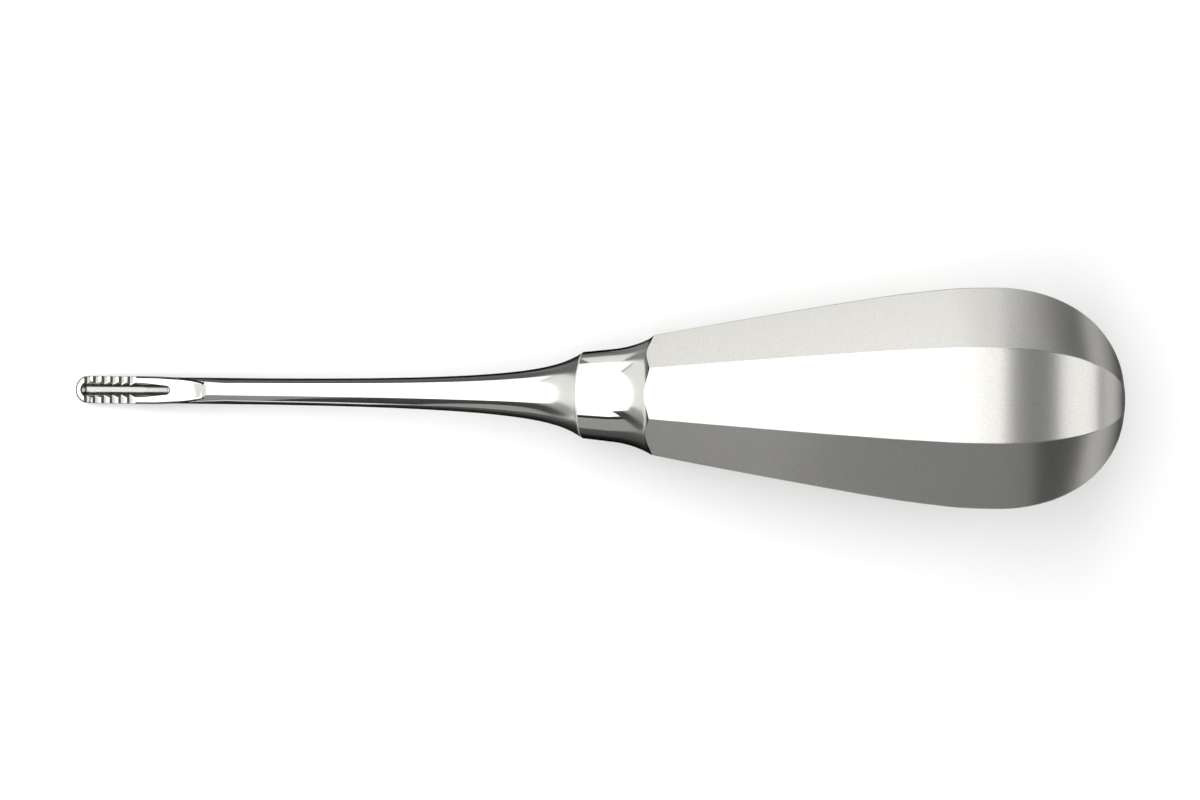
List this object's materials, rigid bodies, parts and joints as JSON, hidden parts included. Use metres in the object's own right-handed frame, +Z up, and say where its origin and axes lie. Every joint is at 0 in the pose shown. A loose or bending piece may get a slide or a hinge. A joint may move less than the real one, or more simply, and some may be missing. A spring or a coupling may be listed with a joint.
{
  "type": "root elevator",
  "caption": "Steel root elevator: a small serrated gouge on a slender polished shank, with a pear-shaped eight-sided hollow grip.",
  "frame": {"origin": "middle of the straight stretch of the grip's lower facet, which the tool lies on", "axes": "+X from the gouge towards the butt along the surface it lies on, +Z up, out of the open side of the gouge, +Y across the tool"},
  "size_m": [0.1492, 0.0298, 0.0302],
  "materials": {
    "polished_steel": "mirror polished stainless steel",
    "satin_steel": "fine satin stainless steel, with a polished neck"
  },
  "bodies": {
    "root": {"blade": "polished_steel", "handle": "satin_steel"}
  },
  "joints": []
}
